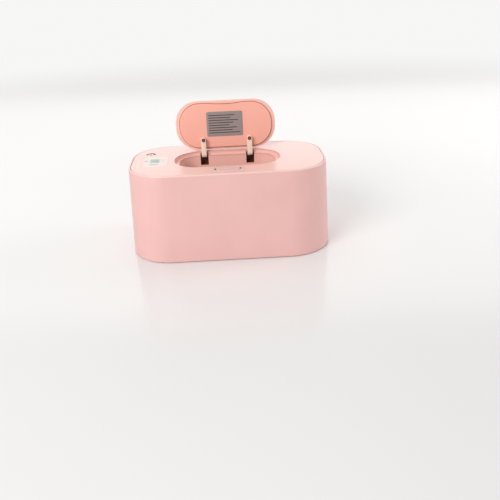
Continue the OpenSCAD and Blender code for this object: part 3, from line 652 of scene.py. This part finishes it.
def addScrews(name, spec):
    low, high = spanOf(spec["node"])
    atX = spec.get("atX") or (low[0] + spec["head"] / 2, high[0] - spec["head"] / 2)
    atY = spec.get("atY") or (low[1] + spec["head"] / 2, high[1] - spec["head"] / 2)
    one = screwPoints(spec) * (1, 1, -1)
    grids = [one + (x, y, spec["z"]) for x in atX for y in atY]
    if spec["body"] == "lid":
        grids = [onLid(grid) for grid in grids]
    finish = screwFinish(headToneAndHoleShade) if spec["body"] == "lid" else None
    plans = [one[..., :2]] * len(grids)
    piece = makePiece(name, grids, spec["slot"], spec["body"], sharp=40, plans=plans, finish=finish)
    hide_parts(spec["node"])


for name, spec in screws.items():
    addScrews(name, spec)
print("screws made")


# rubber feet: turned pads with a soft edge and a shallow ring under them

feet = {"x": (-90, 90), "y": (-37, 37), "radius": 6.9, "high": 1.95, "ring": 3.6, "ringDeep": 0.25,
        "ringEdge": 0.5, "soft": 0.7, "topSoft": 0.2}


def addFeet(spec):
    # the profile runs from the hollow under the foot over a quarter round to its top
    r, ring, soft, deep = spec["radius"], spec["ring"], spec["soft"], spec["ringDeep"]
    turn = np.linspace(0, np.pi / 2, 6)
    edge = np.stack([r - soft + soft * np.sin(turn), soft - soft * np.cos(turn)], 1)
    groove = [[0, deep], [ring - spec["ringEdge"], deep], [ring, 0]]
    top = [[r, spec["high"] - spec["topSoft"]], [r - spec["topSoft"], spec["high"]], [0, spec["high"]]]
    one = turnedPoints(np.concatenate([groove, edge, top]))
    grids = [one + (x, y, 0) for x in spec["x"] for y in spec["y"]]
    piece = makePiece("rubberFeet", grids, "foot_rubber", "base")
    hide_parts("rubber_feet")


addFeet(feet)
print("feet made")


# release button: a crowned half-round cap over its flange, wedge and spring pads

button = {
    "radius": 13.2, "rearY": -41, "corner": 0.9, "crown": 0.35, "soft": 1.1, "proud": 0.3,
    "flangeOut": 0.85, "flangeRear": -43.5, "flangeTop": topZ - 2.3, "flangeLow": topZ - 3,
    "middle": 0.42,  # how far in front of the rear edge the crown is highest, in radii
    "wedgeHalf": 3.6,  # the wedge's outline in Y and Z
    "wedge": [[-43.4, topZ - 2.2], [-49, topZ - 2.2], [-48.9, topZ - 2.1], [-44.3, topZ - 6.7],
              [-43.4, topZ - 7.1]],
    "padX": 10, "padY": -46, "pad": 1.0, "padLow": topZ - 5.6, "padSoft": 0.3, "overlap": 0.2,
    "collar": 2.4, "springTop": topZ - 3.6,
}


def halfRound(spec, inset, around=72):
    # a half circle in front of a straight rear edge, joined by small round corners, drawn in by inset
    r, c = spec["radius"] - inset, max(spec["corner"] - inset, 0.05)
    reach = math.sqrt((r - c) ** 2 - c ** 2)  # where the corner circles' centres lie
    lean = math.asin(c / (r - c))
    front = np.linspace(np.pi + lean, 2 * np.pi - lean, around)
    right = np.linspace(-lean, np.pi / 2, 10)[1:]
    left = np.linspace(np.pi / 2, np.pi + lean, 10)[:-1]
    rear = np.linspace(reach, -reach, 14)[1:-1]
    points = [np.stack([r * np.cos(front), r * np.sin(front)], 1),
              np.stack([reach + c * np.cos(right), -c + c * np.sin(right)], 1),
              np.stack([rear, np.zeros(len(rear))], 1),
              np.stack([-reach + c * np.cos(left), -c + c * np.sin(left)], 1)]
    return np.concatenate(points) + (0, spec["rearY"] - inset)


def addButton(spec):
    # the cap's height falls with the square of the share of the way from its crown to the rim, then
    # follows a quarter round into an upright side that widens into the flange
    middle = np.array([0, spec["rearY"] - spec["middle"] * spec["radius"]])
    turn = np.linspace(np.pi / 2, 0, 7)
    insets = spec["soft"] * (1 - np.cos(turn))
    capZ = topZ + spec["proud"]
    rimZ = capZ - spec["soft"] * (1 - np.sin(turn))
    shrink = np.linspace(0, 1, 14)[:-1]
    top = middle + shrink[None, :, None] * (halfRound(spec, insets[0])[:, None] - middle)
    rim = np.stack([halfRound(spec, inset) for inset in insets], 1)
    outer, base = halfRound(spec, 0), halfRound(spec, -spec["flangeOut"])
    base[:, 1] = np.minimum(base[:, 1], spec["flangeRear"])
    skirt = np.stack([outer, base, base, np.broadcast_to(middle, base.shape)], 1)
    plan = np.concatenate([top, rim, skirt], axis=1)
    height = np.concatenate([capZ + spec["crown"] * (1 - shrink ** 2), rimZ,
                             [spec["flangeTop"], spec["flangeTop"], spec["flangeLow"], spec["flangeLow"]]])
    # a collar that sits on the spring, over a pad that stands inside it
    collar, pad, seat, tip = spec["collar"], spec["pad"], spec["springTop"], spec["padLow"]
    root, soft = spec["flangeLow"] + spec["overlap"], spec["padSoft"]
    post = turnedPoints([[0, root], [collar, root], [collar, seat], [pad, seat], [pad, tip + soft],
                         [pad - soft, tip], [0, tip]], 24)
    grids = [lifted(plan, height), prismPoints(spec["wedge"], -spec["wedgeHalf"], spec["wedgeHalf"])]
    grids += [post + (side * spec["padX"], spec["padY"], 0) for side in (-1, 1)]
    piece = makePiece("releaseCap", grids, "cover_pink", "button", sharp=50)
    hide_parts("release_button")


# dark pads in the slits beside the button: painted shadow where the slits are hollow
slitShadows = {"x": 14.1, "y": -41, "width": 1.8, "long": 4.7, "high": topZ - 0.05, "low": topZ - 1.7,
           "corner": 0.89, "soft": 0.3}


def addSlitShadows(spec):
    # a dark pad in each slit beside the button's rear corners, a painted shadow for the slit's hollow depth
    pads = []
    for side in (-1, 1):
        centres, outward = roundedOutline(spec["width"], spec["long"], spec["corner"], 8, 2)
        rim = softRim(spec["corner"], spec["low"], spec["high"], spec["soft"], 0.1)
        pads.append(platePoints(centres, outward, rim, 4) + (side * spec["x"], spec["y"], 0))
    makePiece("slitShadowPads", pads, "part_black", "cover")


addButton(button)
addSlitShadows(slitShadows)
print("release button made")


# control window, display and printed marks

window = {
    "place": (-83.5, -4), "length": 30, "depth": 42, "corner": 8, "thick": 1.2, "soft": 0.12,
    "glowTint": (0.58, 0.62, 0.55), "glowAt": (-84, -2), "glowHalf": (12.5, 18), "fade": (0.55, 1.35),
    "cloud": 6, "cloudShare": 0.16, "handled": 9, "rough": (0.16, 0.26), "coat": 0.3, "coatRough": 0.06,
}
display = {
    "place": (-84, -0.5), "length": 10.8, "depth": 13.8, "corner": 0.8, "sunk": 0.06, "thick": 1.0,
    "digits": "45", "digitWidth": 2.7, "digitHeight": 6.6, "pitch": 4.5, "bar": 0.65,
    "ink": (0.055, 0.06, 0.055), "gap": 0.05, "raised": 0.02, "barGap": 0.25,
}
# arcs are (place, radius, width, from and to in degrees), dots (place, diameter), places in X and Y
marks = {
    "ink": (0.10, 0.022, 0.028), "pale": (0.36, 0.42, 0.37), "lift": 0.02,
    "standbyArc": ((-91, 26), 4.4, 2.3, -15, 195), "standbyDot": ((-91, 24.6), 3.0),
    "keyRing": ((-94.2, 0.5), 1.9, 0.6, 0, 360), "keyDot": ((-94.2, 0.5), 1.6),
    "keyArc": ((-73.4, 0.5), 2.1, 0.6, 40, 320),
    "bars": {"x": (-87.3, -84, -80.7), "y": -14.2, "width": 1.7, "long": 4.2, "corner": 0.4},
}


def windowFinish(spec):
    # the body's colour at the rim, fading into a pale greenish field round the display, a painted glow of
    # the lit display:
    # the field is strong where the distance from its middle, measured as an oval, is under one
    made, tree, shader, texture = material("window_clear")
    place = texture.outputs["Object"]
    (x, y), (halfX, halfY) = spec["glowAt"], spec["glowHalf"]
    centred = mapped(tree, place, Location=(-x / halfX, -y / halfY, 0),
                     Scale=(1 / (halfX * mm), 1 / (halfY * mm), 0))
    away = tree.nodes.new("ShaderNodeVectorMath")
    away.operation = "LENGTH"
    tree.links.new(centred, away.inputs[0])
    cloud = calc(tree, "MULTIPLY", noise(tree, place, spec["cloud"] * mm, 2), spec["cloudShare"])
    field = ranged(tree, calc(tree, "ADD", away.outputs["Value"], cloud), 1, 0, *spec["fade"], smooth=True)
    # painted glow: the pale field stands in for the display's light shining through the window
    tree.links.new(blended(tree, field, coverPink, spec["glowTint"]), shader.inputs["Base Color"])
    handled = noise(tree, place, spec["handled"] * mm, 5, 0.65)
    tree.links.new(ranged(tree, handled, *spec["rough"]), shader.inputs["Roughness"])
    shader.inputs["Coat Weight"].default_value = spec["coat"]
    shader.inputs["Coat Roughness"].default_value = spec["coatRough"]
    return made


inks = {"grain": 0.25, "share": 0.4, "paler": 0.35, "rough": 0.6, "specular": 0.25}


def inkFinish(name, colour):
    made, tree, shader, texture = material(name)
    fine = noise(tree, texture.outputs["Object"], inks["grain"] * mm, 4)
    speck = ranged(tree, fine, 0, inks["share"])
    tree.links.new(blended(tree, speck, colour, shifted(colour, inks["paler"])), shader.inputs["Base Color"])
    shader.inputs["Roughness"].default_value = inks["rough"]
    shader.inputs["Specular IOR Level"].default_value = inks["specular"]
    return made


def ringPlate(inner, outer, place, low, high, soft, steps=8):
    # a plate between two outlines: underside, inner wall, top and outer wall form one closed loop
    inside = inner[0] + inner[1] * inner[2] + place[1]
    outside = outer[0] + place[0]
    rays, r = outer[1], outer[2]
    turn = np.linspace(np.pi / 2, 0, 5)
    rim = outside[:, None] + rays[:, None] * (r - soft + soft * np.cos(turn))[None, :, None]
    share = np.linspace(0, 1, steps)[None, :, None]
    top = inside[:, None] * (1 - share) + rim[:, :1] * share
    wall = outside[:, None] + rays[:, None] * r
    under = wall * (1 - share) + inside[:, None] * share
    plan = np.concatenate([top, rim, under, inside[:, None]], axis=1)
    height = np.concatenate([np.full(steps, high), high - soft + soft * np.sin(turn),
                             np.full(steps, low), [high]])
    return lifted(plan, height)


def addWindow(spec, screen):
    outer = (*roundedOutline(spec["length"], spec["depth"], spec["corner"]), spec["corner"])
    inner = (*roundedOutline(screen["length"], screen["depth"], screen["corner"]), screen["corner"])
    places = (spec["place"], screen["place"])
    points = ringPlate(inner, outer, places, topZ - spec["thick"], topZ, spec["soft"])
    piece = makePiece("windowLens", [points], "window_clear", "cover", finish=windowFinish(spec))
    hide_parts("control_window")


def plateAt(length, depth, corner, place, low, high, soft=0.0):
    centres, outward = roundedOutline(length, depth, corner, 8, 2)
    rim = softRim(corner, low, high, soft, 0.01, 4) if soft else [[corner, high], [corner, low]]
    return platePoints(centres, outward, rim, 3) + (*place, 0)


segmentTable = {"4": "bcfg", "5": "acdfg"}  # which of the seven bars each figure lights


def segmentPoints(name, spec, place, low, high):
    # one bar of a seven-bar figure: a thin bar with pointed ends, lying or upright
    w, h, bar = spec["digitWidth"], spec["digitHeight"], spec["bar"]
    lying = {"a": (0, h / 2), "g": (0, 0), "d": (0, -h / 2)}
    upright = {"f": (-w / 2, h / 4), "b": (w / 2, h / 4), "e": (-w / 2, -h / 4), "c": (w / 2, -h / 4)}
    end = ((w if name in lying else h / 2) - spec["barGap"]) / 2
    shoulder, half = end - bar / 2, bar / 2
    tip = np.array([[end, 0], [shoulder, half], [-shoulder, half], [-end, 0], [-shoulder, -half],
                    [shoulder, -half]])
    if name in upright:
        tip = tip[:, ::-1] * (1, -1)
    tip = tip + np.array((lying | upright)[name]) + place
    middle = np.broadcast_to(tip.mean(axis=0), tip.shape)
    plan = np.stack([middle, tip, tip, middle], axis=1)
    return lifted(plan, np.array([high, high, low, low]))


def addDisplay(spec):
    top, gap = topZ - spec["sunk"], spec["gap"]
    glass = plateAt(spec["length"] - 2 * gap, spec["depth"] - 2 * gap, spec["corner"] - gap, spec["place"],
                    top - spec["thick"], top, 0.05)
    makePiece("displayGlass", [glass], "lcd_grey", "cover")
    x, y = spec["place"]
    grids = []
    for k, figure in enumerate(spec["digits"]):
        place = (x + (k - 0.5) * spec["pitch"], y)
        high = top + spec["raised"]
        grids += [segmentPoints(bar, spec, place, top, high) for bar in segmentTable[figure]]
    makePiece("displayFigures", grids, "lcd_grey", "cover", finish=inkFinish("figureInk", spec["ink"]))


def arcPlate(place, radius, width, fromDegrees, toDegrees, low, high, steps=40):
    # a flat arc: a narrow rectangle carried round part of a circle
    angle = np.radians(np.linspace(fromDegrees, toDegrees, steps))
    rays = np.stack([np.cos(angle), np.sin(angle)], 1)
    section = np.array([[-0.5, high], [0.5, high], [0.5, low], [-0.5, low]])
    plan = place + rays[None] * (radius + section[:, :1, None] * width)
    points = np.dstack([plan, np.broadcast_to(section[:, 1:], plan.shape[:2])])
    ends = [np.broadcast_to(points[:, k].mean(axis=0), (4, 3))[:, None] for k in (0, -1)]
    return np.concatenate([ends[0], points, ends[1]], axis=1)


def dotPlate(place, across, low, high):
    return plateAt(across, across, across / 2 - 0.01, place, low, high)


def addMarks(spec):
    high, bars = topZ + spec["lift"], spec["bars"]
    # a generic standby mark: an open arc over a dot
    warm = [arcPlate(*spec["standbyArc"], topZ, high), dotPlate(*spec["standbyDot"], topZ, high)]
    makePiece("standbyMark", warm, "cover_pink", "cover", finish=inkFinish("roseInk", spec["ink"]))
    # key marks round the display: a ring, a dot and three short bars
    pale = [arcPlate(*spec["keyRing"], topZ, high), dotPlate(*spec["keyDot"], topZ, high),
            arcPlate(*spec["keyArc"], topZ, high)]
    pale += [plateAt(bars["width"], bars["long"], bars["corner"], (x, bars["y"]), topZ, high)
             for x in bars["x"]]
    makePiece("keyMarks", pale, "cover_pink", "cover", finish=inkFinish("paleInk", spec["pale"]))


addWindow(window, display)
addDisplay(display)
addMarks(marks)
print("control window made")


# floor

stageFloor = {
    "half": 6000, "colour": (0.79, 0.785, 0.78), "rough": 0.16, "cloud": 400, "swing": 0.01,
    "fade": (0.5, 1.6), "level": 0.93, "glow": (1, 0.995, 0.99),  # fade in metres from the middle
}


def addFloor(spec):
    half = spec["half"]
    points = np.array([[[-half, -half, 0], [-half, half, 0]], [[half, -half, 0], [half, half, 0]]], float)
    floor = makePiece("floor", [points], "shell_pink", None, closeRows=False)
    made, tree, shader, texture = material("paleFloor")
    shader.inputs["Roughness"].default_value = spec["rough"]
    cloud = noise(tree, texture.outputs["Object"], spec["cloud"] * mm, 2)
    pale, deep = shifted(spec["colour"], spec["swing"]), shifted(spec["colour"], -spec["swing"])
    tree.links.new(blended(tree, ranged(tree, cloud, 0, 1), deep, pale), shader.inputs["Base Color"])
    # far from the part the floor turns into an even pale backdrop, for the camera and for gloss only
    away = tree.nodes.new("ShaderNodeVectorMath")
    away.operation = "LENGTH"
    tree.links.new(texture.outputs["Object"], away.inputs[0])
    rays = tree.nodes.new("ShaderNodeLightPath").outputs
    seen = calc(tree, "MAXIMUM", calc(tree, "MAXIMUM", rays["Is Camera Ray"], rays["Is Glossy Ray"]),
                rays["Is Transmission Ray"])
    glow = tree.nodes.new("ShaderNodeEmission")
    feed(tree, spec["glow"], glow.inputs["Color"])
    glow.inputs["Strength"].default_value = spec["level"]
    mix = tree.nodes.new("ShaderNodeMixShader")
    fade = ranged(tree, away.outputs["Value"], 0, 1, *spec["fade"], smooth=True)
    tree.links.new(calc(tree, "MULTIPLY", fade, seen), mix.inputs[0])
    tree.links.new(shader.outputs[0], mix.inputs[1])
    tree.links.new(glow.outputs[0], mix.inputs[2])
    tree.links.new(mix.outputs[0], tree.nodes["Material Output"].inputs[0])
    floor.data.materials.clear()
    floor.data.materials.append(made)


placeCamera(shot)
addLamps(lamps)
addWorld(world)
addFloor(stageFloor)
bpy.context.scene.view_settings.view_transform = "Standard"
print("stage set")
